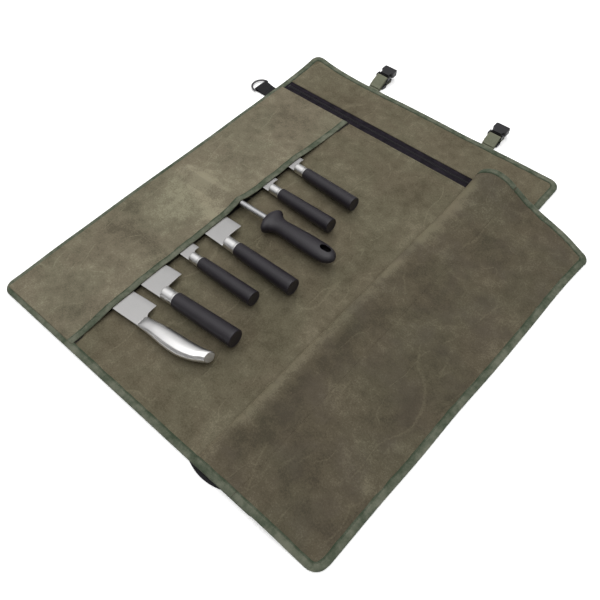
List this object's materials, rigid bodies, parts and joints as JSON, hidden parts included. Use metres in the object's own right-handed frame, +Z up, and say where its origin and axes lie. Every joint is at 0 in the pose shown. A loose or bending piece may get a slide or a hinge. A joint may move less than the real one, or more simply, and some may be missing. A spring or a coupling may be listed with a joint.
{
  "type": "tool roll",
  "caption": "Waxed canvas tool roll opened flat: blade pocket with knives and a sharpening steel, zip pocket, folded cover flap, closing straps with side-release buckles and D-rings.",
  "frame": {"origin": "centre of the bound sheet's underside", "axes": "+X from the tool pocket towards the cover flap, +Y from the near edge towards the closing straps, +Z up"},
  "size_m": [0.7375, 0.8515, 0.0384],
  "materials": {
    "canvas": "waxed, matt",
    "pocket_canvas": "waxed, rubbed pale",
    "flap_canvas": "waxed, mottled",
    "binding_tape": "woven tape",
    "olive_webbing": "woven",
    "black_webbing": "woven",
    "zipper_tape": "woven",
    "zipper_plastic": "matt",
    "zipper_metal": "black",
    "buckle_plastic": "satin",
    "handle_plastic": "fine matt grain",
    "ring_steel": "dark nickel",
    "blade_steel": "satin",
    "collar_steel": "brushed"
  },
  "bodies": {
    "roll": {"outer_panel": "canvas", "inner_panel": "canvas", "zip_panel": "canvas", "edge_binding": "binding_tape", "hanging_tab": "black_webbing", "pocket_panel": "pocket_canvas", "pocket_binding": "binding_tape", "pocket_dividers": "canvas", "zipper_tape_near": "zipper_tape", "zipper_tape_far": "zipper_tape", "zipper_coils": "zipper_plastic", "zipper_stops": "zipper_metal", "flap_lower": "flap_canvas", "ring_tab_left": "black_webbing", "ring_tab_right": "black_webbing", "long_strap_left": "olive_webbing", "long_strap_right": "olive_webbing"},
    "folded_flap": {"flap_inner": "flap_canvas", "flap_inner_binding": "binding_tape"},
    "flap_end": {"flap_outer": "flap_canvas", "flap_outer_binding": "binding_tape"},
    "steel_knife": {"steel_knife_blade": "blade_steel", "steel_knife_handle": "collar_steel"},
    "wide_knife_1": {"wide_knife_1_blade": "blade_steel", "wide_knife_1_ferrule": "collar_steel", "wide_knife_1_handle": "handle_plastic"},
    "slim_knife_1": {"slim_knife_1_blade": "blade_steel", "slim_knife_1_ferrule": "collar_steel", "slim_knife_1_handle": "handle_plastic"},
    "wide_knife_2": {"wide_knife_2_blade": "blade_steel", "wide_knife_2_ferrule": "collar_steel", "wide_knife_2_handle": "handle_plastic"},
    "sharpening_steel": {"sharpening_steel_rod": "collar_steel", "sharpening_steel_handle": "handle_plastic"},
    "slim_knife_2": {"slim_knife_2_blade": "blade_steel", "slim_knife_2_ferrule": "collar_steel", "slim_knife_2_handle": "handle_plastic"},
    "slim_knife_3": {"slim_knife_3_blade": "blade_steel", "slim_knife_3_ferrule": "collar_steel", "slim_knife_3_handle": "handle_plastic"},
    "strap_left": {"strap_left": "olive_webbing"},
    "socket_left": {"buckle_socket_left": "buckle_plastic"},
    "plug_left": {"buckle_plug_left": "buckle_plastic"},
    "ring_left": {"d_ring_left": "ring_steel"},
    "strap_right": {"strap_right": "olive_webbing"},
    "socket_right": {"buckle_socket_right": "buckle_plastic"},
    "plug_right": {"buckle_plug_right": "buckle_plastic"},
    "ring_right": {"d_ring_right": "ring_steel"},
    "slider": {"zipper_slider": "zipper_metal"},
    "pull": {"zipper_pull": "zipper_metal"}
  },
  "joints": [
    {"name": "flap_fold", "type": "hinge", "parent": "roll", "child": "folded_flap", "pos_m": [0.164, 0, 0.017], "axis": [0, 1, 0], "range_deg": [-170, 0]},
    {"name": "flap_bend", "type": "hinge", "parent": "folded_flap", "child": "flap_end", "pos_m": [0.275, 0, 0.0075], "axis": [0, 1, 0], "range_deg": [-15.1, 0]},
    {"name": "draw_steel_knife", "type": "slide", "parent": "roll", "child": "steel_knife", "axis": [0.9959, 0.0819, 0.0384], "range_m": [0, 0.145]},
    {"name": "draw_wide_knife_1", "type": "slide", "parent": "roll", "child": "wide_knife_1", "axis": [0.9966, 0.0627, 0.0532], "range_m": [0, 0.145]},
    {"name": "draw_slim_knife_1", "type": "slide", "parent": "roll", "child": "slim_knife_1", "axis": [0.9985, 0.0105, 0.0541], "range_m": [0, 0.125]},
    {"name": "draw_wide_knife_2", "type": "slide", "parent": "roll", "child": "wide_knife_2", "axis": [0.9988, -0.0139, 0.0471], "range_m": [0, 0.145]},
    {"name": "draw_sharpening_steel", "type": "slide", "parent": "roll", "child": "sharpening_steel", "axis": [0.9991, 0.0105, 0.0401], "range_m": [0, 0.14]},
    {"name": "draw_slim_knife_2", "type": "slide", "parent": "roll", "child": "slim_knife_2", "axis": [0.9978, -0.0348, 0.0558], "range_m": [0, 0.13]},
    {"name": "draw_slim_knife_3", "type": "slide", "parent": "roll", "child": "slim_knife_3", "axis": [0.996, -0.0696, 0.0558], "range_m": [0, 0.13]},
    {"name": "lift_strap_left", "type": "hinge", "parent": "roll", "child": "strap_left", "pos_m": [-0.1355, 0.3943, 0.0017], "axis": [1, 0, 0], "range_deg": [0, 66]},
    {"name": "tilt_socket_left", "type": "hinge", "parent": "strap_left", "child": "socket_left", "pos_m": [-0.1355, 0.422, 0.0134], "axis": [1, 0, 0], "range_deg": [0, 45]},
    {"name": "adjust_plug_left", "type": "slide", "parent": "roll", "child": "plug_left", "axis": [0, 1, 0], "range_m": [0, 0.012]},
    {"name": "lift_strap_right", "type": "hinge", "parent": "roll", "child": "strap_right", "pos_m": [0.1315, 0.3943, 0.0017], "axis": [1, 0, 0], "range_deg": [0, 66]},
    {"name": "tilt_socket_right", "type": "hinge", "parent": "strap_right", "child": "socket_right", "pos_m": [0.1315, 0.417, 0.0118], "axis": [1, 0, 0], "range_deg": [0, 45]},
    {"name": "adjust_plug_right", "type": "slide", "parent": "roll", "child": "plug_right", "axis": [0, 1, 0], "range_m": [0, 0.012]},
    {"name": "swing_ring_left", "type": "hinge", "parent": "roll", "child": "ring_left", "pos_m": [-0.316, 0.251, 0.0022], "axis": [0, 1, 0], "range_deg": [-5, 130]},
    {"name": "swing_ring_right", "type": "hinge", "parent": "roll", "child": "ring_right", "pos_m": [0.316, 0.251, 0.0022], "axis": [0, 1, 0], "range_deg": [-5, 90]},
    {"name": "run_slider", "type": "slide", "parent": "roll", "child": "slider", "axis": [1, 0, 0], "range_m": [-0.46, 0.04]},
    {"name": "lift_pull", "type": "hinge", "parent": "slider", "child": "pull", "pos_m": [0.215, 0.2882, 0.0061], "axis": [0, 1, 0], "range_deg": [-80, 3]}
  ],
  "couplings": [
    {"joint": "flap_bend", "follows": "flap_fold", "ratio": 0.088235}
  ]
}
